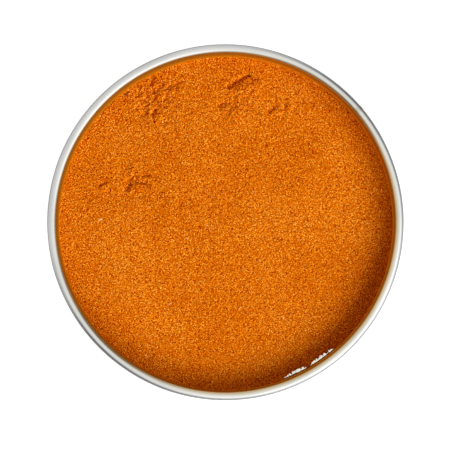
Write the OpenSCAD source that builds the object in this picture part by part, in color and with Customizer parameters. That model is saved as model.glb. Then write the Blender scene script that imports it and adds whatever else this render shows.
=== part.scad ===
// Round slip-lid spice tin, open and filled with ground spice, standing in its own upturned lid.
// Millimetres, +Z up. The origin is the middle of the face that rests on the table.
// The tin is a three-piece can: a rolled wall with a curled rim and a welded side seam, a base
// held by a double seam, and the sealing compound inside that seam.

/* [Tin] */
// Outside diameter over the curled rim
rim_d = 70; // [60:1:90]
// Height of the tin, from the base seam to the top of the rim
tin_h = 32; // [24:1:50]
// Width of the curled rim, seen from above
rim_w = 1.75; // [1.5:0.05:2]
// Thickness of the tinplate
sheet = 0.25; // [0.2:0.01:0.26]
// Depth of the stacking ledge below the top of the rim
ledge_depth = 6.8; // [6:0.1:10]
// How far the wall steps in at the stacking ledge
ledge_w = 1.1; // [0.9:0.05:1.4]
// Height of the double seam round the base
seam_h = 2.8; // [2.6:0.1:3.4]
// Where the side seam runs, counted from +X towards +Y
side_seam_angle = 40; // [0:5:355]

/* [Filling] */
// How deep the spice covers the stacking ledge
ledge_cover = 0.4; // [0.3:0.1:4]

/* [Lid] */
// Height of the lid
lid_h = 10; // [8:0.5:14]
// Gap between the lid's skirt and the tin's rim, on the radius
lid_gap = 0.15; // [0.1:0.05:0.3]
// How far the middle of the lid stands proud of its border
lid_rise = 0.8; // [0.6:0.1:1.2]
// Thickness of the sealing liner in the lid
liner_t = 1; // [0.6:0.1:1.6]

/* [Hidden] */

round_fn = 180; // facets of a round outline, where one is drawn as facets
half = sheet / 2;
seat_gap = 0.05; // the tin's base stands this far off the liner

// Heights of the tin above the table, through the lid that it stands in
lid_floor_z = lid_rise + sheet;
liner_top_z = lid_floor_z + liner_t;
tin_z = liner_top_z + seat_gap;

// Wall: radii and heights of the middle of the sheet, heights counted from the base seam
mouth_r = rim_d / 2 - rim_w + half;
body_r = mouth_r - ledge_w;
curl_r = rim_w / 2 - half;
curl_flatness = 0.72; // the curl is a flattened roll, an ellipse this much lower than wide
curl_lean = 5; // degrees that the ellipse slopes down on its outside
curl_turn = 300; // degrees round it, until the edge nearly meets the wall again
curl_rx = curl_r / sqrt(cos(curl_lean) ^ 2 + (curl_flatness * sin(curl_lean)) ^ 2);
curl_rz = curl_rx * curl_flatness;
curl_half_h = sqrt((curl_rx * sin(curl_lean)) ^ 2 + (curl_rz * cos(curl_lean)) ^ 2);
curl_z = tin_h - curl_half_h - half;
curl_start = 180 + atan2(curl_rz * sin(curl_lean), curl_rx * cos(curl_lean)); // where it meets the wall
ledge_z = tin_h - ledge_depth - half;
ledge_bend = 0.2; // where the body turns out into the ledge
mouth_bend = 0.35; // where the ledge turns up into the mouth

// Double seam: five sheets side by side, one pitch apart, from the inside out
pitch = sheet + 0.05;
chuck_r = body_r - pitch;
end_hook_r = body_r + pitch;
body_hook_r = body_r + 2 * pitch;
seam_wall_r = body_r + 3 * pitch;
seam_turn_z = seam_h - half - pitch;
body_turn_z = half + 2 * pitch;
body_hook_top_z = seam_turn_z - 0.25;
end_hook_low_z = body_turn_z + 0.08;
seam_corner = 0.3;

// Base: a countersunk panel with one raised step
panel_z = seam_h - 0.2;
panel_rise = 0.5;
panel_step_r = 0.74 * body_r;
panel_bend = 0.5;

// Side seam: a narrow lap that stands proud of the wall on the outside
lap_w = 0.9;
lap_t = 0.1;
lap_sink = 0.05;
lap_clear = 0.3;

// Lid, drawn upturned
skirt_r = rim_d / 2 + lid_gap + half;
lid_panel_r = 0.86 * skirt_r;
lid_bend = 1;
hem_r = 0.2;
hem_len = 1.2;
liner_r = skirt_r - lid_bend - 0.1;

// Filling: it stays this far off the metal
fill_gap = 0.05;
fill_chamfer = 0.2; // clears the bend from the ledge up into the mouth
fill_z = tin_h - ledge_depth + ledge_cover;

// Points on an ellipse round c with radii rx and rz, from one angle to another in n steps
function arc(c, rx, rz, from, to, n, lean = 0) =
    [for (i = [0:n])
        let (a = from + (to - from) * i / n)
        c + rx * cos(a) * [cos(lean), -sin(lean)] + rz * sin(a) * [sin(lean), cos(lean)]];

function unit(v) = v / norm(v);
function left(v) = [-v[1], v[0]];
function reversed(list) = [for (i = [len(list) - 1:-1:0]) list[i]];

// The path moved to its left by d, with mitred corners
function beside(path, d) =
    [for (i = [0:len(path) - 1])
        let (
            last = len(path) - 1,
            arriving = left(unit(path[max(i, 1)] - path[max(i, 1) - 1])),
            leaving = left(unit(path[min(i + 1, last)] - path[min(i, last - 1)])),
            mitre = unit(arriving + leaving)
        )
        path[i] + mitre * d / (mitre * arriving)];

// Sheet metal turned round the axis: the path is the middle of the sheet, as [radius, height]
module turned_sheet(path) {
    rotate_extrude($fn = round_fn)
        polygon(concat(beside(path, half), reversed(beside(path, -half))));
}

// The wall, from its hook in the base seam, up over the stacking ledge, to the end of the curl
wall_path = concat(
    [[body_hook_r, body_hook_top_z]],
    arc([end_hook_r, body_turn_z], pitch, pitch, 0, -180, 8),
    arc([body_r + ledge_bend, ledge_z - ledge_bend], ledge_bend, ledge_bend, 180, 90, 5),
    arc([mouth_r - mouth_bend, ledge_z + mouth_bend], mouth_bend, mouth_bend, -90, 0, 5),
    arc([mouth_r + curl_r, curl_z], curl_rx, curl_rz, curl_start, curl_start - curl_turn, 36, curl_lean)
);

// One stretch of the side seam's lap, on the outside of the wall
module lap(wall_r, from_z, to_z) {
    turn = lap_w / wall_r * 180 / PI;
    rotate([0, 0, side_seam_angle - turn / 2])
        rotate_extrude(angle = turn, $fn = round_fn)
            translate([wall_r + half - lap_sink, from_z])
                square([lap_sink + lap_t, to_z - from_z]);
}

module body_wall() {
    color("silver")
        translate([0, 0, tin_z]) {
            turned_sheet(wall_path);
            lap(body_r, seam_h + lap_clear, ledge_z - ledge_bend - lap_clear);
            lap(mouth_r, ledge_z + mouth_bend + lap_clear, curl_z - curl_half_h - half - lap_clear);
        }
}

// The base, from the middle of its panel, down the countersink, round the seam to its hook
module base_end() {
    color("lightgray")
        translate([0, 0, tin_z])
            turned_sheet(concat(
                [
                    [0, panel_z + panel_rise],
                    [panel_step_r, panel_z + panel_rise],
                    [panel_step_r + 2 * panel_rise, panel_z]
                ],
                arc([chuck_r - panel_bend, panel_z - panel_bend], panel_bend, panel_bend, 90, 0, 6),
                arc([chuck_r + seam_corner, half + seam_corner], seam_corner, seam_corner, 180, 270, 5),
                arc([seam_wall_r - seam_corner, half + seam_corner], seam_corner, seam_corner, 270, 360, 5),
                arc([body_hook_r, seam_turn_z], pitch, pitch, 0, 180, 8),
                [[end_hook_r, end_hook_low_z]]
            ));
}

// Sealing compound, packed into the seam above the wall's hook
module seam_compound() {
    color("dimgray")
        translate([0, 0, tin_z])
            rotate_extrude($fn = round_fn)
                translate([body_hook_r - half, body_hook_top_z + 0.02])
                    square([sheet, seam_turn_z - body_hook_top_z]);
}

// Ground spice, filled from the base panel to just above the stacking ledge
module spice_fill() {
    low_z = panel_z + half + fill_gap;
    step_z = ledge_z + half + fill_gap;
    body_fill_r = body_r - half - fill_gap;
    mouth_fill_r = mouth_r - half - fill_gap;
    color("chocolate")
        translate([0, 0, tin_z])
            rotate_extrude($fn = round_fn)
                polygon([
                    [0, low_z + panel_rise],
                    [panel_step_r + panel_rise, low_z + panel_rise],
                    [panel_step_r + 3 * panel_rise, low_z],
                    [body_fill_r, low_z],
                    [body_fill_r, step_z],
                    [mouth_fill_r - fill_chamfer, step_z],
                    [mouth_fill_r, step_z + fill_chamfer],
                    [mouth_fill_r, fill_z],
                    [0, fill_z]
                ]);
}

// The lid, mouth upwards, from the middle of its panel to the end of the hem on its skirt
module lid_shell() {
    hem_z = lid_h - half - hem_r;
    color("silver")
        turned_sheet(concat(
            [
                [0, half],
                [lid_panel_r, half],
                [lid_panel_r + lid_rise, half + lid_rise]
            ],
            arc([skirt_r - lid_bend, half + lid_rise + lid_bend], lid_bend, lid_bend, -90, 0, 8),
            arc([skirt_r + hem_r, hem_z], hem_r, hem_r, 180, 0, 8),
            [[skirt_r + 2 * hem_r, hem_z - hem_len]]
        ));
}

// Sealing liner, a plain disc that lies in the lid
module lid_liner() {
    color("ivory")
        translate([0, 0, lid_floor_z])
            cylinder(r = liner_r, h = liner_t, $fn = round_fn);
}

body_wall();
base_end();
seam_compound();
spice_fill();
lid_shell();
lid_liner();
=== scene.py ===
import math

import bmesh
import bpy
import numpy as np
from mathutils import Matrix, Vector, noise


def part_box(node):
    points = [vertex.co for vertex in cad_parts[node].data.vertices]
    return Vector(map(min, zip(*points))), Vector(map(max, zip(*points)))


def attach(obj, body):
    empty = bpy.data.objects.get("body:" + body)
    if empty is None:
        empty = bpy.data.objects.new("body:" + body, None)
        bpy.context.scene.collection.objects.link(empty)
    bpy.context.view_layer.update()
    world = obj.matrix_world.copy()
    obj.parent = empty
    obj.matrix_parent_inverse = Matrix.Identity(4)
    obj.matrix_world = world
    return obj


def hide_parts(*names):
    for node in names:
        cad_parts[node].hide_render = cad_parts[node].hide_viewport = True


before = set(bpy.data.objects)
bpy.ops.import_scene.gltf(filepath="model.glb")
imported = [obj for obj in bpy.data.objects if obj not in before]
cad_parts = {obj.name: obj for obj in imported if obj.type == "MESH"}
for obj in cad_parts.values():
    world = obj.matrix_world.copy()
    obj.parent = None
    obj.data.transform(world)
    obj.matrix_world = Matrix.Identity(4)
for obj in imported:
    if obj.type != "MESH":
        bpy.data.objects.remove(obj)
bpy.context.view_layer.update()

noise.seed_set(12)  # without it, noise_vector would take its offsets from the clock

# ---------------------------------------------------------------- sizes, in metres
MM = 0.001

wall_low, wall_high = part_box("body_wall")
base_low, base_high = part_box("base_end")
spice_low, spice_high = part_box("spice_fill")
lid_low, lid_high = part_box("lid_shell")
liner_low, liner_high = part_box("lid_liner")

SHEET = 0.25 * MM
HALF = SHEET / 2
TIN_Z = base_low[2]
RIM_TOP = wall_high[2]
RIM_R = wall_high[0]
FILL_GAP = 0.05 * MM
MOUTH_R = spice_high[0] + FILL_GAP + HALF  # the middle of the sheet, as all the wall's radii
LEDGE_W = 1.1 * MM  # how much wider the mouth is than the body, on the radius
BODY_R = MOUTH_R - LEDGE_W
LEDGE_DEPTH = 6.8 * MM  # from the top of the rim to the ledge's upper face
LEDGE_Z = RIM_TOP - LEDGE_DEPTH - HALF
SPICE_TOP = spice_high[2]

SEAM_H = 2.8 * MM  # the double seam
PITCH = SHEET + 0.05 * MM  # from one layer of the seam to the next
HOOK_R = BODY_R + 2 * PITCH
SEAM_TURN_Z = TIN_Z + SEAM_H - HALF - PITCH  # where the base turns over the wall's hook
PANEL_Z = TIN_Z + SEAM_H - 0.2 * MM
PANEL_RISE = 0.5 * MM
PANEL_STEP_R = 0.74 * BODY_R  # the base's middle, inside this radius, stands higher by PANEL_RISE

SIDE_SEAM = 40.0  # degrees from +X towards +Y
SEAM_HALF_WIDTH = 0.45 * MM
FILM_AND_PAINTED_LIGHT_SIDE = -45.0  # the side, in degrees, where the spice dust on the curl is thickest and where the curl's tint and the wall's dust carry painted light and a painted reflection of the spice

LID_RISE = 0.8 * MM
SKIRT_R = RIM_R + 0.15 * MM + HALF
HEM_R = 0.2 * MM
HEM_LEN = 1.2 * MM


# ---------------------------------------------------------------- sheet metal
def arc(centre, rx, rz, start, end, steps, lean=0.0):
    """Points on an ellipse, by angle in degrees. Its long axis slopes down outwards by lean."""
    tilt = math.radians(lean)
    points = []
    for i in range(steps + 1):
        turn = math.radians(start + (end - start) * i / steps)
        along = rx * math.cos(turn)
        up = rz * math.sin(turn)
        points.append((
            centre[0] + along * math.cos(tilt) + up * math.sin(tilt),
            centre[1] - along * math.sin(tilt) + up * math.cos(tilt),
        ))
    return points


def spaced(path, step):
    """The path with points added until none are further apart than step."""
    points = [path[0]]
    for (r0, z0), (r1, z1) in zip(path, path[1:]):
        parts = max(1, math.ceil(math.hypot(r1 - r0, z1 - z0) / step))
        points += [(r0 + (r1 - r0) * i / parts, z0 + (z1 - z0) * i / parts) for i in range(1, parts + 1)]
    return points


def both_faces(path):
    """The outline of a sheet whose middle is the path, as rows of radius, height and outward normal."""
    middle = np.array(path)
    way = np.diff(middle, axis=0)
    way /= np.linalg.norm(way, axis=1)[:, None]
    arriving = np.vstack([way[:1], way])
    leaving = np.vstack([way, way[-1:]])
    left_in = np.column_stack([-arriving[:, 1], arriving[:, 0]])
    left_out = np.column_stack([-leaving[:, 1], leaving[:, 0]])
    mitre = left_in + left_out
    mitre /= np.linalg.norm(mitre, axis=1)[:, None]
    reach = HALF / np.sum(mitre * left_in, axis=1)[:, None]
    left_face = np.hstack([middle + mitre * reach, mitre])
    right_face = np.hstack([middle - mitre * reach, -mitre])
    return np.vstack([left_face, right_face[::-1]])


def dents(points, size, depth, seed):
    """Small offsets for points on a sheet that was never quite true."""
    shift = Vector((seed, 2.7 * seed, -1.3 * seed))
    return np.array([noise.noise_vector(Vector(p) / size + shift) for p in points]) * depth


def turned(name, outline, turns, seed, dent, dent_size, extra_angles=(), raised=None):
    """A closed mesh: the outline turned round the Z axis.

    raised(angle) says how far each row of the outline is lifted along its normal at that angle.
    """
    angles = sorted(set(360.0 * i / turns for i in range(turns)) | set(a % 360 for a in extra_angles))
    rows = len(outline)
    rings = []
    for angle in angles:
        ring = outline[:, :2].copy()
        if raised:
            ring += outline[:, 2:] * raised(angle)[:, None]
        a = math.radians(angle)
        rings.append(np.column_stack([ring[:, 0] * math.cos(a), ring[:, 0] * math.sin(a), ring[:, 1]]))
    points = np.vstack(rings)
    points += dents(points, dent_size, dent, seed)
    middle_r = 0.5 * MM  # points inside it are drawn in, so that no dent moves the middle off the axis
    points[:, :2] *= np.minimum(1, np.hypot(points[:, 0], points[:, 1]) / middle_r)[:, None]
    faces = []
    for i in range(len(angles)):
        first = i * rows
        following = (i + 1) % len(angles) * rows
        for j in range(rows):
            k = (j + 1) % rows
            faces.append((first + k, first + j, following + j, following + k))
    return closed_mesh(name, points, faces)


def closed_mesh(name, points, faces):
    """A smooth-shaded object from points and faces, welded where points meet, with its normals outwards."""
    mesh = bpy.data.meshes.new(name)
    mesh.from_pydata(points.tolist(), [], faces)
    work = bmesh.new()
    work.from_mesh(mesh)
    bmesh.ops.remove_doubles(work, verts=work.verts, dist=1e-7)
    bmesh.ops.dissolve_degenerate(work, edges=work.edges, dist=1e-8)
    bmesh.ops.recalc_face_normals(work, faces=work.faces)
    work.to_mesh(mesh)
    work.free()
    mesh.shade_smooth()
    mesh.set_sharp_from_angle(angle=math.radians(38))
    return placed(name, mesh)


def placed(name, content):
    """An object of a mesh, a light or a camera, put in the scene."""
    made = bpy.data.objects.new(name, content)
    bpy.context.collection.objects.link(made)
    return made


def make_wall():
    """The rolled wall: hook, body, stacking ledge, mouth and curled rim, with its side seam."""
    curl_r = (RIM_R - MOUTH_R - HALF) / 2
    lean = 5.0
    flatness = 0.72
    curl_turn = 300
    sine = math.sin(math.radians(lean))
    cosine = math.cos(math.radians(lean))
    rx = curl_r / math.hypot(cosine, flatness * sine)
    rz = rx * flatness
    half_h = math.hypot(rx * sine, rz * cosine)
    curl_z = RIM_TOP - HALF - half_h
    start = 180 + math.degrees(math.atan2(rz * sine, rx * cosine))
    bend = 0.2 * MM
    mouth_bend = 0.35 * MM
    hook_gap = 0.25 * MM
    lower = spaced(
        [(HOOK_R, SEAM_TURN_Z - hook_gap)]
        + arc((BODY_R + PITCH, TIN_Z + HALF + 2 * PITCH), PITCH, PITCH, 0, -180, 8)
        + arc((BODY_R + bend, LEDGE_Z - bend), bend, bend, 180, 90, 6), 0.9 * MM)
    upper = spaced(
        arc((MOUTH_R - mouth_bend, LEDGE_Z + mouth_bend), mouth_bend, mouth_bend, -90, 0, 8)
        + arc((MOUTH_R + curl_r, curl_z), rx, rz, start, start - curl_turn, 44, lean), 0.45 * MM)
    path = lower + upper
    outline = both_faces(path)
    curl = np.array([r > MOUTH_R + 0.01 * MM for r, _ in path])
    on_curl = 0.03 * MM  # the side seam's lap, pressed nearly flat where the rim is curled
    on_wall = 0.1 * MM
    lift = np.concatenate([np.where(curl, on_curl, 0), np.where(curl, 0, on_wall)[::-1]])
    lift *= (outline[:, 1] > TIN_Z + SEAM_H)
    edge = math.degrees(SEAM_HALF_WIDTH / RIM_R)
    step = 0.05  # the lap's edge rises over this angle, in degrees

    def raised(angle):
        return lift if abs(angle - SIDE_SEAM) < edge + step / 2 else 0 * lift

    lap_edges = [SIDE_SEAM + s * (edge + t) for s in (-1, 1) for t in (0, step)]
    return turned("tin_wall", outline, 288, 3.1, 0.025 * MM, 9 * MM, lap_edges, raised)


def make_base():
    """The base panel with its countersink, folded into the double seam."""
    chuck_r = BODY_R - PITCH
    seam_r = BODY_R + 3 * PITCH
    corner = 0.3 * MM
    bend = 0.5 * MM
    low = TIN_Z + HALF
    panel_top = PANEL_Z + PANEL_RISE
    path = spaced(
        [(0, panel_top), (PANEL_STEP_R, panel_top), (PANEL_STEP_R + 2 * PANEL_RISE, PANEL_Z)]
        + arc((chuck_r - bend, PANEL_Z - bend), bend, bend, 90, 0, 8)
        + arc((chuck_r + corner, low + corner), corner, corner, 180, 270, 6)
        + arc((seam_r - corner, low + corner), corner, corner, 270, 360, 6)
        + arc((HOOK_R, SEAM_TURN_Z), PITCH, PITCH, 0, 180, 10)
        + [(BODY_R + PITCH, TIN_Z + HALF + 2 * PITCH + 0.08 * MM)], 1.5 * MM)
    return turned("tin_base", both_faces(path), 240, 5.3, 0.02 * MM, 12 * MM)


def make_lid():
    """The upturned slip-over lid, with its raised panel and hemmed skirt."""
    panel_r = 0.86 * SKIRT_R
    bend = 1 * MM
    hem_z = lid_high[2] - HALF - HEM_R
    low = lid_low[2] + HALF
    path = spaced(
        [(0, low), (panel_r, low), (panel_r + LID_RISE, low + LID_RISE)]
        + arc((SKIRT_R - bend, low + LID_RISE + bend), bend, bend, -90, 0, 10)
        + arc((SKIRT_R + HEM_R, hem_z), HEM_R, HEM_R, 180, 0, 10)
        + [(SKIRT_R + 2 * HEM_R, hem_z - HEM_LEN)], 1.2 * MM)
    return turned("lid_pan", both_faces(path), 288, 8.9, 0.012 * MM, 11 * MM)


def make_liner():
    """The pulpboard liner: a disc with soft edges and a ring that the tin's rim has pressed into it."""
    radius = liner_high[0]
    top = liner_high[2]
    low = liner_low[2]
    soft = 0.2 * MM
    pressed_r = radius - 0.7 * MM
    pressed_z = top - 0.06 * MM
    upper = [(0, top), (pressed_r - 0.5 * MM, top), (pressed_r, pressed_z), (radius - soft, pressed_z)]
    path = spaced(upper, 1.2 * MM) + [
        (radius - 0.05 * MM, top - 0.12 * MM),
        (radius, top - 0.3 * MM),
        (radius, low + 0.2 * MM),
        (radius - soft, low),
    ]
    path += spaced([(radius - soft, low), (0, low)], 4 * MM)[1:]
    outline = np.column_stack([np.array(path), np.zeros((len(path), 2))])
    return turned("liner_board", outline, 240, 2.2, 0.015 * MM, 5 * MM)


# ---------------------------------------------------------------- spice
GRID = 298  # cells each way across the spice's surface
SPICE_R = spice_high[0]
BARE_PATCHES = ((-65.0, 4.6), (-54.4, 5.2))  # middle and half width, in degrees, of the bared ledge
BARE_DEPTH = 1.02 * MM  # the most that the spice has fallen back from the wall
LOOSE_GRAINS = 7000  # coarser grains strewn over the surface, but not on its very edge
BARE_GRAINS = 45  # grains strewn over each patch, the ones that would lie under the spice left out

# Lumps of the surface, in millimetres from the middle: x, y, radius, height
LUMPS = (
    (3.4, 26.8, 1.5, 0.35), (5.8, 26.8, 1.6, 0.3), (6.0, 25.3, 1.3, 0.2), (2.2, 21.7, 1.7, 0.4),
    (0.0, 22.6, 0.9, 0.25), (9.8, 22.0, 0.9, 0.3), (12.8, 23.4, 0.7, 0.35), (-13.8, 28.2, 0.9, 0.45),
    (-13.2, 25.5, 0.9, 0.35), (-15.1, 22.9, 0.8, 0.45), (-13.6, 21.0, 1.0, 0.3), (-10.3, 26.3, 0.9, 0.3),
    (-8.4, 29.0, 0.7, 0.25), (-18.0, 6.9, 1.2, 0.35), (-18.7, 10.2, 0.8, 0.3), (-24.6, 7.0, 0.7, 0.3),
)

# Cracks in the surface, in millimetres: a line of points, its width, its depth
CRACKS = (
    (((0.6, 27.4), (1.3, 27.8), (2.1, 28.4), (2.9, 28.7), (3.6, 29.3), (4.3, 29.6)), 0.38, 0.9),
    (((4.5, 29.6), (5.3, 29.1), (6.3, 28.8)), 0.25, 0.55),
    (((0.6, 26.6), (0.8, 25.8), (0.6, 24.8)), 0.2, 0.16),
    (((-1.2, 23.5), (-0.7, 24.0), (0.0, 24.2), (0.6, 24.1)), 0.32, 0.6),
    (((1.8, 23.5), (3.0, 23.0), (3.9, 22.5)), 0.22, 0.4),
    (((-0.4, 22.0), (0.7, 20.9), (1.5, 20.5)), 0.22, 0.25),
    (((8.8, 22.2), (9.3, 23.0), (10.2, 23.4)), 0.33, 0.5),
    (((11.5, 22.8), (11.9, 23.4)), 0.22, 0.4),
    (((11.9, 24.9), (12.3, 25.2)), 0.2, 0.3),
    (((-15.0, 28.0), (-14.8, 28.5)), 0.35, 0.6),
    (((-13.0, 28.7), (-12.7, 28.0)), 0.25, 0.4),
    (((-14.4, 26.4), (-14.1, 25.5), (-14.5, 24.9)), 0.35, 0.6),
    (((-16.6, 23.1), (-16.1, 22.6), (-15.7, 22.2)), 0.33, 0.8),
    (((-14.9, 22.1), (-14.5, 22.5), (-13.9, 22.7)), 0.33, 0.8),
    (((-14.7, 21.8), (-14.6, 21.0), (-14.3, 20.4)), 0.24, 0.4),
    (((-11.6, 27.3), (-10.6, 27.6), (-9.6, 28.0), (-8.1, 28.7)), 0.24, 0.35),
    (((-25.3, 7.5), (-24.6, 8.0), (-24.1, 8.0)), 0.3, 0.5),
    (((-19.5, 8.3), (-19.0, 8.9), (-18.6, 9.4)), 0.4, 0.5),
    (((-19.8, 6.9), (-19.7, 7.4), (-19.1, 7.8)), 0.35, 0.4),
    (((-18.0, 8.9), (-17.3, 8.1), (-15.9, 8.1)), 0.28, 0.5),
    (((-16.4, 9.4), (-15.3, 9.7)), 0.25, 0.45),
)

# Areas of loose clods, in millimetres: x, y, radius, how high the clods are
CRUMBLY = (
    (-13.6, 25.2, 6.5, 0.38),
    (3.2, 25.0, 5.0, 0.26),
    (-18.6, 8.0, 4.5, 0.22),
    (10.5, 23.0, 4.0, 0.22),
)

# Pale flakes and dark bits of husk that lie on the spice, and one dark bit that is painted shade: x, y,
# length, width in mm, turn in degrees
FLAKES = (
    (-25.0, 0.7, 0.9, 0.5, 20), (11.5, -18.9, 0.5, 0.35, 70), (-3.7, -0.5, 0.45, 0.3, 10),
    (-15.9, -26.3, 0.45, 0.3, 130), (2.7, -17.1, 0.45, 0.25, 40), (28.3, -0.1, 0.4, 0.3, 0),
    (6.7, 13.8, 0.45, 0.25, 110), (-7.7, -3.1, 0.4, 0.25, 60), (-11.1, -16.1, 1.1, 0.16, 25),
    (-15.5, 3.2, 1.1, 0.16, -8), (5.5, 6.2, 0.45, 0.2, 150),
)
HUSKS_AND_SHADE_BIT = (
    (12.7, -18.1, 0.5, 0.35, 30), (-17.1, 5.2, 0.6, 0.3, 80), (6.3, -7.5, 0.5, 0.3, 140),
    (-4.3, 7.2, 0.5, 0.3, 10), (18.3, -5.3, 0.5, 0.3, 60), (22.5, 10.4, 0.45, 0.3, 100),
    # The long dark bit at -19.75, 26.0, where the spice meets the wall, stands in for a shadow there:
    # painted shade.
    (-19.75, 26.0, 1.5, 0.5, 38), (-17.0, 27.2, 0.5, 0.35, 20),
)


def from_line(x, y, line):
    """Distance from a point to a line of points."""
    best = 1e9
    for (x0, y0), (x1, y1) in zip(line, line[1:]):
        dx = x1 - x0
        dy = y1 - y0
        t = max(0.0, min(1.0, ((x - x0) * dx + (y - y0) * dy) / (dx * dx + dy * dy)))
        best = min(best, math.hypot(x - x0 - t * dx, y - y0 - t * dy))
    return best


def clods(place):
    """The height of loose clods a millimetre or less across, with gaps between them, from about -1 to 1."""
    nearest, second = noise.voronoi(place / 0.95)[0][:2]
    crumbs = noise.noise(place / 0.9 + Vector((1, 9, 4)))
    crumbs += 0.5 * noise.noise(place / 0.45 + Vector((4, 3, 8)))
    return crumbs + min(1.0, 3 * (second - nearest)) - 0.8


def relief(x, y):
    """The spice's height over its level at a point, all in millimetres, without the single grains."""
    place = Vector((x, y, 0))
    height = 0.22 * noise.noise(place / 14 + Vector((3, 1, 5)))
    height += 0.04 * noise.noise(place / 3.2 + Vector((7, 2, 1)))
    bent = place + 0.22 * noise.noise_vector(place / 1.1)
    for middle_x, middle_y, radius, rise in CRUMBLY:
        away = math.hypot(x - middle_x, y - middle_y) / radius
        if away < 1:
            height += rise * clods(bent) * (1 - away * away)
    ragged = 0.35 * noise.noise(place / 0.7 + Vector((5, 5, 2)))
    for lump_x, lump_y, radius, rise in LUMPS:
        away = math.hypot(x - lump_x, y - lump_y) / radius + ragged
        if away < 1.6:
            height += rise / (1 + math.exp(9 * (away - 0.85)))
    for line, width, depth in CRACKS:
        away = from_line(bent.x, bent.y, line) / width + 1.5 * ragged
        if away < 3:
            height -= depth * math.exp(-away * away)
    return height


def bared(angle):
    """How far the spice has fallen back from the wall at an angle in degrees, from 0 to 1."""
    most = 0.0
    for middle, half_width in BARE_PATCHES:
        away = abs((angle - middle + 180) % 360 - 180) / half_width
        most = max(most, 1 - away * away)
    return most


def spice_edge(angle):
    """The radius of the spice's edge at an angle in degrees."""
    fallen = bared(angle)
    if fallen <= 0:
        return SPICE_R + FILL_GAP
    jag = 0.4 * noise.noise(Vector((angle * 1.3, 0.5, 0))) + noise.noise(Vector((angle * 5.5, 4.5, 0)))
    return SPICE_R - BARE_DEPTH * max(0.0, min(1.0, fallen ** 0.5 * (0.72 + 0.7 * jag)))


def banked(angle, radius):
    """How far the spice climbs the wall, or drops to the ledge where that is bare."""
    near = max(0.0, 1 - (spice_edge(angle) - radius) / (0.4 * MM)) ** 2
    return near * (-0.25 if bared(angle) > 0 else 0.07) * MM


def round_axis(radius, angle):
    """The x and y of a place at a radius and an angle in degrees."""
    return radius * math.cos(math.radians(angle)), radius * math.sin(math.radians(angle))


def spice_surface():
    """The points of the spice's surface: a square grid, row by row, bent to fill the tin's mouth."""
    dice = np.random.default_rng(11)
    lines = np.linspace(-1, 1, GRID + 1)
    across, along = np.meshgrid(lines, lines)
    disc_x = across * np.sqrt(1 - along ** 2 / 2)
    disc_y = along * np.sqrt(1 - across ** 2 / 2)
    grain = dice.normal(0, 0.055 * MM, disc_x.shape) + np.abs(dice.normal(0, 0.03 * MM, disc_x.shape))
    shake = dice.uniform(-0.3, 0.3, (2,) + disc_x.shape) * SPICE_R / GRID
    shake[:, (0, -1), :] = 0
    shake[:, :, (0, -1)] = 0
    core = 0.88 * SPICE_R  # inside it the ragged edge has no effect
    points = []
    for i in range(GRID + 1):
        for j in range(GRID + 1):
            radius = math.hypot(disc_x[i, j], disc_y[i, j]) * SPICE_R
            angle = math.degrees(math.atan2(disc_y[i, j], disc_x[i, j]))
            blend = max(0.0, min(1.0, (radius - core) / (SPICE_R - core))) ** 2
            radius += blend * (spice_edge(angle) - SPICE_R)
            x, y = round_axis(radius, angle)
            x += shake[0, i, j]
            y += shake[1, i, j]
            height = relief(x / MM, y / MM) * MM + grain[i, j] + banked(angle, radius)
            points.append((x, y, SPICE_TOP + height))
    return points


def make_spice():
    """The heap of ground spice: a grainy surface over a plain body that fills the tin."""
    points = spice_surface()
    row = GRID + 1
    faces = [(i * row + j, i * row + j + 1, (i + 1) * row + j + 1, (i + 1) * row + j)
             for i in range(GRID) for j in range(GRID)]
    ring = (list(range(GRID)) + [i * row + GRID for i in range(GRID)]
            + [GRID * row + j for j in range(GRID, 0, -1)] + [i * row for i in range(GRID, 0, -1)])
    step_r = PANEL_STEP_R + PANEL_RISE
    # The rings below the surface: radius, or None for almost straight down, and height
    levels = (
        (None, LEDGE_Z + HALF + 0.04 * MM),
        (BODY_R - HALF - FILL_GAP, LEDGE_Z + HALF + FILL_GAP),
        (BODY_R - HALF - FILL_GAP, spice_low[2]),
        (step_r + 0.02 * BODY_R, spice_low[2]),
        (step_r, spice_low[2] + PANEL_RISE),
    )
    for reach, level in levels:
        below = list(range(len(points), len(points) + len(ring)))
        for corner in ring:
            x, y, _ = points[corner]
            scale = (reach or math.hypot(x, y) - 0.1 * MM) / math.hypot(x, y)
            points.append((x * scale, y * scale, level))
        for a in range(len(ring)):
            b = (a + 1) % len(ring)
            faces.append((ring[a], below[a], below[b], ring[b]))
        ring = below
    faces.append(tuple(ring))
    return closed_mesh("spice_heap", np.array(points), faces)


def grain_places(dice):
    """Where loose grains lie, on the spice and on the bared ledge: x, y, z and size."""
    places = []
    for _ in range(LOOSE_GRAINS):
        radius = (SPICE_R - 0.4 * MM) * math.sqrt(dice.uniform())
        angle = dice.uniform(-180, 180)
        size = dice.uniform(0.08, 0.17) * MM
        if radius > spice_edge(angle) - 0.5 * MM:
            continue
        x, y = round_axis(radius, angle)
        places.append((x, y, SPICE_TOP + relief(x / MM, y / MM) * MM, size))
    for middle, half_width in BARE_PATCHES:
        for _ in range(BARE_GRAINS):
            angle = middle + half_width * dice.uniform(-1, 1)
            radius = SPICE_R - BARE_DEPTH * dice.uniform(0.1, 1)
            if radius < spice_edge(angle):
                continue
            x, y = round_axis(radius, angle)
            places.append((x, y, LEDGE_Z + HALF, dice.uniform(0.08, 0.14) * MM))
    return places


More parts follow.
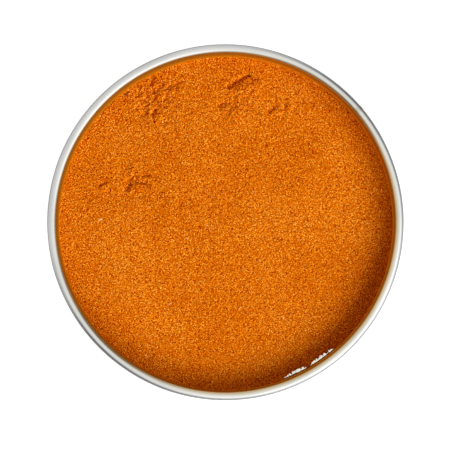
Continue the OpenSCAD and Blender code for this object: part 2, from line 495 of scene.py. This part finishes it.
def make_grains():
    """Coarser grains that lie loose on the spice, one mesh of small angular chips."""
    dice = np.random.default_rng(23)
    base = np.array([(1, 0, 0), (-1, 0, 0), (0, 1, 0), (0, -1, 0), (0, 0, 1), (0, 0, -1)], float)
    sides = ((0, 2, 4), (2, 1, 4), (1, 3, 4), (3, 0, 4), (2, 0, 5), (1, 2, 5), (3, 1, 5), (0, 3, 5))
    points = []
    faces = []
    for x, y, z, size in grain_places(dice):
        spin, _ = np.linalg.qr(dice.normal(size=(3, 3)))
        chip = (base * dice.uniform(0.6, 1.25, (6, 1))) @ spin * size
        chip += (x, y, z + 0.55 * size)
        first = len(points)
        points += chip.tolist()
        faces += [tuple(first + c for c in side) for side in sides]
    return chips("spice_grains", points, faces)


def make_bits(name, places, seed):
    """Flat angular bits that lie on the spice, each a ring of six corners with a point above and below."""
    dice = np.random.default_rng(seed)
    points = []
    faces = []
    for x, y, length, width, turn in places:
        ring = [(math.cos(math.radians(60 * k)), math.sin(math.radians(60 * k)), 0) for k in range(6)]
        chip = np.array(ring + [(0, 0, 1), (0, 0, -1)]) * dice.uniform(0.75, 1.2, (8, 1))
        chip *= np.array([length, width, 0.1]) / 2 * MM
        a = math.radians(turn)
        flat = chip[:, :2] @ np.array([[math.cos(a), math.sin(a)], [-math.sin(a), math.cos(a)]])
        chip[:, :2] = flat + (x * MM, y * MM)
        chip[:, 2] += SPICE_TOP + (relief(x, y) + 0.13) * MM
        first = len(points)
        points += chip.tolist()
        for k in range(6):
            corner, following = first + k, first + (k + 1) % 6
            faces += [(corner, following, first + 6), (following, corner, first + 7)]
    return chips(name, points, faces)


def chips(name, points, faces):
    """An object of flat-sided chips."""
    mesh = bpy.data.meshes.new(name)
    mesh.from_pydata(points, [], faces)
    return placed(name, mesh)


# ---------------------------------------------------------------- materials
def new_material(name):
    """A material with nodes, its node tree and its shader."""
    made = bpy.data.materials.new(name)
    made.use_nodes = True
    return made, made.node_tree, made.node_tree.nodes["Principled BSDF"]


def add(tree, kind, inputs=None, **settings):
    """A new node. Each input is a plain value, or an output to link from."""
    made = tree.nodes.new("ShaderNode" + kind)
    for key, value in settings.items():
        setattr(made, key, value)
    for key, value in (inputs or {}).items():
        if isinstance(value, bpy.types.NodeSocket):
            tree.links.new(value, made.inputs[key])
        else:
            made.inputs[key].default_value = value
    return made


def maths(tree, operation, a, b=0.0, c=0.5, clamp=False):
    """The result of one sum."""
    return add(tree, "Math", {0: a, 1: b, 2: c}, operation=operation, use_clamp=clamp).outputs[0]


def ramp(tree, factor, stops):
    """A colour ramp. A stop is its place and a grey or a colour."""
    made = add(tree, "ValToRGB", {0: factor})
    elements = made.color_ramp.elements
    while len(elements) < len(stops):
        elements.new(0.5)
    for element, (place, value) in zip(elements, stops):
        element.position = place
        element.color = (value, value, value, 1) if isinstance(value, (int, float)) else (*value, 1)
    return made.outputs[0]


def mixed(tree, factor, first, second):
    """The first colour turned into the second as far as the factor says."""
    return add(tree, "Mix", {0: factor, 6: first, 7: second}, data_type="RGBA").outputs[2]


def tinted(tree, factor, colour, tint):
    """The colour, multiplied by a tint as far as the factor says."""
    inputs = {0: factor, 6: colour, 7: tint}
    return add(tree, "Mix", inputs, data_type="RGBA", blend_type="MULTIPLY").outputs[2]


def here(tree):
    """The place on the object, in metres."""
    return add(tree, "TexCoord").outputs["Object"]


def noise_at(tree, where, size, detail=2.0, roughness=0.5):
    """Noise whose features are about that size in metres."""
    return add(tree, "TexNoise", {"Vector": where, "Scale": 1 / size, "Detail": detail,
                                  "Roughness": roughness}).outputs[0]


def bumped(tree, shader, height, distance, strength):
    """Gives the shader a fine relief."""
    made = add(tree, "Bump", {"Height": height, "Distance": distance, "Strength": strength})
    tree.links.new(made.outputs[0], shader.inputs["Normal"])


def spread(tree, where):
    """Coordinates round the tin: the angle, which is half a turn at the side seam, distance out, height."""
    rotation = (0, 0, math.radians(180 - SIDE_SEAM))
    from_seam = add(tree, "Mapping", {"Vector": where, "Rotation": rotation})
    parts = add(tree, "SeparateXYZ", {0: from_seam.outputs[0]}).outputs
    angle = maths(tree, "ARCTAN2", parts[1], parts[0])
    out = maths(tree, "SQRT", maths(tree, "ADD", maths(tree, "MULTIPLY", parts[0], parts[0]),
                                    maths(tree, "MULTIPLY", parts[1], parts[1])))
    return angle, out, parts[2]


def tinplate(name, rolled=False, clean_above=None):
    """Bright tinplate, scuffed below a height. Rolled sheet has its fine lines along it, round the tin."""
    made, tree, shader = new_material(name)
    where = here(tree)
    angle, out, up = spread(tree, where)
    run = maths(tree, "MULTIPLY", angle, 0.12 * RIM_R)
    lines = add(tree, "CombineXYZ", {0: run, 1: out, 2: up} if rolled else {0: out, 1: 0.0, 2: up})
    fine = noise_at(tree, lines.outputs[0], 0.12 * MM, 3, 0.6)
    cloudy = noise_at(tree, where, 9 * MM, 4, 0.55)
    smudge = noise_at(tree, where, 2.2 * MM, 3, 0.6)
    tone = ramp(tree, cloudy, ((0.3, (0.80, 0.81, 0.80)), (0.7, (0.90, 0.91, 0.89))))
    gloss = maths(tree, "ADD", maths(tree, "MULTIPLY", ramp(tree, smudge, ((0.4, 0), (0.75, 1))), 0.08),
                  maths(tree, "MULTIPLY", fine, 0.1))
    gloss = maths(tree, "ADD", gloss, 0.11)
    long_run = maths(tree, "MULTIPLY", run, 0.3)
    scratches = add(tree, "CombineXYZ", {0: long_run, 1: out, 2: up} if rolled else {0: out, 1: 0.0, 2: up})
    scuffs = ramp(tree, noise_at(tree, scratches.outputs[0], 0.16 * MM, 1, 0.5), ((0.58, 0), (0.72, 1)))
    scuffs = maths(tree, "MULTIPLY", scuffs, ramp(tree, cloudy, ((0.48, 0), (0.64, 1))))
    if clean_above:
        below = maths(tree, "LESS_THAN", up, clean_above)
        scuffs = maths(tree, "MULTIPLY", scuffs, below)
    tone = mixed(tree, scuffs, tone, (0.74, 0.74, 0.73, 1))
    gloss = maths(tree, "MULTIPLY_ADD", scuffs, 0.15, gloss)
    tree.links.new(tone, shader.inputs["Base Color"])
    tree.links.new(gloss, shader.inputs["Roughness"])
    shader.inputs["Metallic"].default_value = 1.0
    bumped(tree, shader, fine, 0.004 * MM, 0.5)
    return made


def facing_side(tree, angle, azimuth):
    """1 on the side of the tin that faces an azimuth in degrees, and 0 on the other."""
    turn = maths(tree, "SUBTRACT", angle, math.radians(azimuth + 180 - SIDE_SEAM))
    return maths(tree, "MULTIPLY_ADD", maths(tree, "COSINE", turn), 0.5, 0.5)


def inner_faces(tree, out, up, film_and_painted_light_side):
    """1 on the wall's inner face above the ledge, and on the curl as far as the dust has climbed it."""
    near_curl = maths(tree, "GREATER_THAN", up, RIM_TOP - 2 * MM)
    climb = maths(tree, "MULTIPLY_ADD", film_and_painted_light_side, 0.11 * MM, 0.05 * MM)
    limit = maths(tree, "MULTIPLY_ADD", near_curl, climb, MOUTH_R - 0.06 * MM)
    inside = maths(tree, "LESS_THAN", out, limit)
    return maths(tree, "MULTIPLY", inside, maths(tree, "GREATER_THAN", up, LEDGE_Z))


def warm_film_and_painted_light(tree, out, film_and_painted_light_side, bare_ledge_glint):
    """The curl's warm tint, which thins outwards: partly spice dust and partly a painted reflection of the
    spice, full only on the side nearest the key light; and the bared ledge lifted above the metal's own
    colour, a painted glint.
    """
    across = maths(tree, "DIVIDE", maths(tree, "SUBTRACT", out, MOUTH_R), RIM_R - MOUTH_R, clamp=True)
    film_and_painted_light = ramp(tree, across, (
        (0.0, (0.93, 0.74, 0.30)),
        (0.1, (0.92, 0.66, 0.34)),
        (0.25, (0.95, 0.82, 0.62)),
        (0.45, (1.0, 0.95, 0.85)),
        (0.6, (1.0, 1.0, 1.0)),
    ))
    # painted reflection: the curl's warm tint is full only on the side nearest the key light
    film_and_painted_light = mixed(tree, film_and_painted_light_side, (1, 1, 1, 1), film_and_painted_light)
    # painted highlight: the bared ledge's colour is lifted above the metal's own, as a glint
    return mixed(tree, bare_ledge_glint, film_and_painted_light, (1.25, 1.18, 1.02, 1))


def dusty_wall(name):
    """The wall's tinplate: fine spice dust on its inside, with painted light and painted shade in it; a
    warm tint on the curl, partly spice dust and partly a painted reflection of the spice; a bright ledge,
    lifted as a painted glint.
    """
    made = tinplate(name, rolled=True, clean_above=RIM_TOP - 1.5 * MM)
    tree = made.node_tree
    shader = tree.nodes["Principled BSDF"]
    where = here(tree)
    angle, out, up = spread(tree, where)
    # 1 on the side nearest the key light, where the curl's tint and the wall's dust carry the most painted
    # light
    film_and_painted_light_side = ramp(tree, facing_side(tree, angle, FILM_AND_PAINTED_LIGHT_SIDE), ((0.1, 0.2), (0.5, 0.6), (0.85, 1)))
    inside = inner_faces(tree, out, up, film_and_painted_light_side)
    crown = maths(tree, "GREATER_THAN", up, RIM_TOP - 0.8 * MM)
    rise = maths(tree, "DIVIDE", maths(tree, "SUBTRACT", up, LEDGE_Z), RIM_TOP - LEDGE_Z, clamp=True)
    # the bared ledge low on the wall, which gets a painted glint
    bare_ledge_glint = maths(tree, "LESS_THAN", rise, 0.03)
    film_and_painted_light = warm_film_and_painted_light(tree, out, film_and_painted_light_side, bare_ledge_glint)
    plain = welded(tree, shader.inputs["Base Color"].links[0].from_socket, angle, crown)
    filmed_with_painted_light = tinted(tree, maths(tree, "MAXIMUM", inside, crown), plain, film_and_painted_light)
    # the corner where the bared ledge meets the wall takes dust, darkened there as painted shade
    corner = maths(tree, "MULTIPLY", bare_ledge_glint, maths(tree, "GREATER_THAN", out, MOUTH_R - 0.38 * MM))
    coat = maths(tree, "MAXIMUM", ramp(tree, rise, ((0.03, 0), (0.034, 1))), corner)
    coat = maths(tree, "MULTIPLY", coat, inside)
    coated = mixed(tree, coat, filmed_with_painted_light, wall_dust_and_painted_light(tree, where, angle, rise, film_and_painted_light_side, corner))
    tree.links.new(coated, shader.inputs["Base Color"])
    tree.links.new(maths(tree, "SUBTRACT", 1.0, coat), shader.inputs["Metallic"])
    gloss = shader.inputs["Roughness"].links[0].from_socket
    tree.links.new(maths(tree, "MULTIPLY_ADD", coat, 0.5, gloss), shader.inputs["Roughness"])
    shader.inputs["Specular IOR Level"].default_value = 0.05
    return made


def welded(tree, colour, angle, crown):
    """The tinplate's colour with the dark line and the heat tint of the side seam, fainter on the curl."""
    turn = maths(tree, "SUBTRACT", math.pi, maths(tree, "ABSOLUTE", angle))
    from_seam = maths(tree, "MULTIPLY", turn, RIM_R / MM)
    line = ramp(tree, from_seam, ((0.16, 1), (0.3, 0)))
    heat = ramp(tree, from_seam, ((0.4, 1), (0.95, 0)))
    colour = tinted(tree, heat, colour, (0.90, 0.87, 0.82, 1))
    faint = maths(tree, "MULTIPLY_ADD", crown, -0.75, 1.0)
    return tinted(tree, maths(tree, "MULTIPLY", line, faint), colour, (0.62, 0.62, 0.64, 1))


def wall_dust_and_painted_light(tree, where, angle, rise, film_and_painted_light_side, corner):
    """The colour of the dust on the wall, lighter low down. Painted light lifts it on the side nearest the
    key light, where the wall's face is in shade, and makes it lighter at the right and more yellow at the
    front right; painted shade darkens it in the corner by the bared ledge.
    """
    uneven = maths(tree, "SUBTRACT", noise_at(tree, where, 1.6 * MM, 3, 0.6), 0.5)
    dust = ramp(tree, maths(tree, "MULTIPLY_ADD", uneven, 0.2, rise), (
        (0.05, (0.56, 0.205, 0.004)),
        (0.28, (0.53, 0.198, 0.004)),
        (0.5, (0.36, 0.122, 0.005)),
        (0.85, (0.27, 0.100, 0.008)),
    ))
    speck = noise_at(tree, where, 0.2 * MM, 2, 0.7)
    specks_and_painted_light = ramp(tree, speck, ((0.3, 0.7), (0.7, 1.15)))
    # painted light: the dust is lighter on the side nearest the key light, whose inner face is in shade
    specks_and_painted_light = maths(tree, "MULTIPLY", specks_and_painted_light, maths(tree, "MULTIPLY_ADD", film_and_painted_light_side, 0.6, 0.9))
    # painted shade: the dust in the corner by the bared ledge is darkened
    specks_and_painted_light = maths(tree, "MULTIPLY", specks_and_painted_light, maths(tree, "MULTIPLY_ADD", corner, -0.75, 1.0))
    dust = tinted(tree, 1.0, dust, specks_and_painted_light)
    # painted light: lighter at the right and more yellow at the front right, where the wall's face is
    # turned from the key light
    painted_light_side = ramp(tree, facing_side(tree, angle, 10), ((0.45, 0), (0.7, 1)))
    painted_bounce_side = ramp(tree, facing_side(tree, angle, -30), ((0.78, 0), (0.92, 1)))
    dust = tinted(tree, painted_light_side, dust, (1.36, 1.3, 1.2, 1))
    return tinted(tree, painted_bounce_side, dust, (1.0, 1.35, 2.4, 1))


def picked(tree, colour):
    """One random number from a cell's random colour."""
    return add(tree, "SeparateColor", {0: colour}).outputs[0]


def cells(tree, where, size, randomness):
    """Cells about that size in metres, as seen from above."""
    made = add(tree, "TexVoronoi", {"Vector": where, "Scale": 1 / size, "Randomness": randomness},
               voronoi_dimensions="2D")
    return made.outputs


def ground_spice(name, cell=0.34 * MM, contrast=1.0):
    """Ground spice: each grain has its own tone, from red-brown to pale orange, and painted shade darkens
    the gaps round it.
    """
    made, tree, shader = new_material(name)
    where = here(tree)
    grains = cells(tree, where, cell, 0.9)
    powder = cells(tree, where, cell / 3, 1.0)
    drift = noise_at(tree, where, 11 * MM, 2, 0.5)
    value = 0.5
    parts = (
        # painted shade: the distance to a cell's middle darkens each grain towards its edge, in the gaps
        # between grains
        (grains["Distance"], 0.41, -0.66 * contrast),
        (picked(tree, powder["Color"]), 0.5, 0.96 * contrast),
        (noise_at(tree, where, 0.9 * MM, 1, 0.5), 0.5, 0.12),
        (drift, 0.5, 0.25),
    )
    for part, middle, weight in parts:
        swing = maths(tree, "SUBTRACT", part, middle)
        value = maths(tree, "ADD", value, maths(tree, "MULTIPLY", swing, weight))
    tone = ramp(tree, value, (
        (0.0, (0.21, 0.013, 0.0001)),
        (0.15, (0.44, 0.055, 0.0001)),
        (0.5, (0.645, 0.141, 0.0003)),
        (0.8, (0.775, 0.236, 0.0025)),
        (0.94, (0.86, 0.325, 0.009)),
        (1.0, (0.95, 0.530, 0.075)),
    ))
    tree.links.new(tone, shader.inputs["Base Color"])
    shader.inputs["Roughness"].default_value = 0.95
    shader.inputs["Specular IOR Level"].default_value = 0.03
    bumped(tree, shader, grains["Distance"], -0.08 * MM, 0.8)
    return made


def dry_plant(name, dark, pale):
    """Bits of husk and skin among the spice, streaked from dark to pale."""
    made, tree, shader = new_material(name)
    streaks = noise_at(tree, here(tree), 0.15 * MM, 3, 0.6)
    tree.links.new(ramp(tree, streaks, ((0.35, dark), (0.65, pale))), shader.inputs["Base Color"])
    shader.inputs["Roughness"].default_value = 0.6
    bumped(tree, shader, streaks, 0.02 * MM, 0.6)
    return made


def pulpboard(name):
    """Grey-brown board of coarse fibres, stained by the spice here and there."""
    made, tree, shader = new_material(name)
    where = here(tree)
    fibres = noise_at(tree, where, 0.5 * MM, 5, 0.7)
    stains = noise_at(tree, where, 7 * MM, 3, 0.5)
    board = ramp(tree, fibres, ((0.3, (0.60, 0.54, 0.43)), (0.65, (0.78, 0.73, 0.62))))
    stained = maths(tree, "MULTIPLY", ramp(tree, stains, ((0.5, 0), (0.8, 1))), 0.35)
    tree.links.new(mixed(tree, stained, board, (0.62, 0.28, 0.06, 1)), shader.inputs["Base Color"])
    shader.inputs["Roughness"].default_value = 0.9
    bumped(tree, shader, fibres, 0.08 * MM, 0.7)
    return made


def rubber_seal(name):
    """Dull grey sealing compound."""
    made, tree, shader = new_material(name)
    grain = noise_at(tree, here(tree), 0.3 * MM, 3, 0.6)
    tone = ramp(tree, grain, ((0.35, (0.20, 0.20, 0.19)), (0.7, (0.34, 0.34, 0.32))))
    tree.links.new(tone, shader.inputs["Base Color"])
    shader.inputs["Roughness"].default_value = 0.7
    return made


def white_floor(name):
    """A pale table that glows for the camera only, so that just a trace of shadow shows."""
    made, tree, shader = new_material(name)
    shader.inputs["Base Color"].default_value = (0.395, 0.425, 0.445, 1)
    shader.inputs["Roughness"].default_value = 1.0
    shader.inputs["Specular IOR Level"].default_value = 0.0
    shader.inputs["Emission Color"].default_value = (1, 1, 1, 1)
    glow = maths(tree, "MULTIPLY", add(tree, "LightPath").outputs["Is Camera Ray"], 0.88)
    tree.links.new(glow, shader.inputs["Emission Strength"])
    return made


def finish_piece(piece, body, material):
    """Gives the piece its material, and says which body it rides with."""
    piece.data.materials.clear()
    piece.data.materials.append(material)
    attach(piece, body)


# ---------------------------------------------------------------- the object
def build_object():
    """The tin, the spice and the lid, each piece with its body and its material."""
    bright = tinplate("bright_tinplate")

    wall = make_wall()
    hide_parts("body_wall")
    finish_piece(wall, "tin", dusty_wall("rolled_tinplate"))

    base = make_base()
    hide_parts("base_end")
    finish_piece(base, "tin", bright)

    heap = make_spice()
    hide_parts("spice_fill")
    finish_piece(heap, "tin", ground_spice("ground_spice"))

    grains = make_grains()
    finish_piece(grains, "tin", ground_spice("loose_grains", 0.5 * MM, 1.2))

    flakes = make_bits("spice_flakes", FLAKES, 41)
    finish_piece(flakes, "tin", dry_plant("pale_flakes", (0.76, 0.34, 0.07), (0.88, 0.54, 0.20)))

    # dark husks, and one dark bit that stands in for a shadow at the wall: painted shade
    husks = make_bits("spice_husks_and_shade_bit", HUSKS_AND_SHADE_BIT, 43)
    finish_piece(husks, "tin", dry_plant("dark_husks_and_shade_bit", (0.12, 0.02, 0.004), (0.30, 0.06, 0.01)))

    lid = make_lid()
    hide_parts("lid_shell")
    finish_piece(lid, "lid", bright)

    liner = make_liner()
    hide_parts("lid_liner")
    finish_piece(liner, "lid", pulpboard("pulpboard"))

    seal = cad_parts["seam_compound"]
    for place in seal.material_slots:
        place.material = rubber_seal("sealing_compound")


# ---------------------------------------------------------------- stage, lights and camera
def direction(azimuth, elevation):
    """The unit vector towards an azimuth, from +X towards +Y, and an elevation, in degrees."""
    a = math.radians(azimuth)
    e = math.radians(elevation)
    return Vector((math.cos(a) * math.cos(e), math.sin(a) * math.cos(e), math.sin(e)))


def soft_light(name, azimuth, elevation, distance, width, height, radiance):
    """A rectangular light that faces the tin's rim, of a given radiance."""
    light = bpy.data.lights.new(name, "AREA")
    light.shape = "RECTANGLE"
    light.size = width
    light.size_y = height
    light.energy = radiance * math.pi * width * height
    made = placed(name, light)
    towards = direction(azimuth, elevation)
    made.location = Vector((0, 0, RIM_TOP)) + towards * distance
    made.rotation_euler = towards.to_track_quat("Z", "Y").to_euler()
    made.visible_camera = False
    made.visible_glossy = False  # the sky holds the window that shines in the metal


def spanned(angle, distance):
    """The length that spans an angle in degrees at a distance."""
    return 2 * distance * math.tan(math.radians(angle / 2))


def build_stage():
    """The table, the light and the sky."""
    work = bmesh.new()
    bmesh.ops.create_circle(work, cap_ends=True, radius=3.0, segments=96)
    mesh = bpy.data.meshes.new("floor")
    work.to_mesh(mesh)
    work.free()
    floor = placed("floor", mesh)
    floor.data.materials.append(white_floor("white_table"))

    distance = 1.0
    width = spanned(58, distance)
    height = spanned(38, distance)
    soft_light("key", -45, 45.5, distance, width, height, radiance=5.34)
    bpy.context.scene.world = make_sky("studio")
    bpy.context.scene.view_settings.view_transform = "Standard"


def make_sky(name):
    """A studio with a bright ceiling, dim sides, a window at the front right and a pale card opposite."""
    made = bpy.data.worlds.new(name)
    made.use_nodes = True
    tree = made.node_tree
    parts = add(tree, "SeparateXYZ", {0: add(tree, "TexCoord").outputs["Generated"]}).outputs
    across = maths(tree, "MULTIPLY", maths(tree, "SUBTRACT", parts[1], parts[0]), math.sqrt(0.5))
    squared = maths(tree, "MULTIPLY", parts[2], parts[2])
    level = maths(tree, "SQRT", maths(tree, "SUBTRACT", 1.001, squared))  # never 0, as it divides
    facing = maths(tree, "DIVIDE", across, level)
    # Each of these runs from the horizon to straight up
    sides = ramp(tree, parts[2], (
        (0.0, 0.22), (0.5, 0.11), (0.66, 0.18), (0.8, 0.42), (0.93, 0.8), (1.0, 0.86)))
    card = ramp(tree, parts[2], ((0.0, 0.6), (0.48, 0.64), (0.77, 0.68), (0.94, 0.76), (1.0, 0.86)))
    window = ramp(tree, parts[2], (
        (0.0, 0.75), (0.3, 0.9), (0.45, 1.15), (0.6, 1.35), (0.88, 1.35), (0.95, 1.0), (1.0, 0.86)))
    by_card = ramp(tree, facing, ((0.15, 0), (0.65, 1)))
    narrow = ramp(tree, parts[2], ((0.0, 0.8), (0.3, 0.72), (0.5, 0.5), (0.62, 0.25)))
    narrow = maths(tree, "MULTIPLY", narrow, 4.0)  # a ramp holds 1 at most
    by_window = maths(tree, "POWER", maths(tree, "MULTIPLY", facing, -1.0, clamp=True), narrow)
    shade = mixed(tree, by_card, sides, card)
    shade = mixed(tree, by_window, shade, window)
    rays = add(tree, "LightPath").outputs
    shown = mixed(tree, rays["Is Camera Ray"], shade, (1, 1, 1, 1))
    dimmed = tinted(tree, rays["Is Diffuse Ray"], shown, (0.66, 0.49, 0.43, 1))
    tree.links.new(dimmed, tree.nodes["Background"].inputs[0])
    return made


def place_camera():
    """Looks almost straight down, from a little towards the front, as close as a tabletop shot."""
    tilt = 3.0
    distance = 340 * MM
    shown = 88.12 * MM  # the width of the rim's plane that fills the picture
    camera_data = bpy.data.cameras.new("camera")
    camera_data.sensor_width = 36
    camera_data.lens = camera_data.sensor_width * distance / shown
    camera_data.clip_start = 10 * MM
    camera = placed("camera", camera_data)
    towards = direction(-72, 90 - tilt)
    aim = Vector((-0.025 * MM, -0.74 * MM, RIM_TOP))
    right = Vector((0, 1, 0)).cross(towards).normalized()
    camera.location = aim + towards * distance
    camera.rotation_euler = Matrix((right, towards.cross(right), towards)).transposed().to_euler()
    bpy.context.scene.camera = camera


build_object()
build_stage()
place_camera()
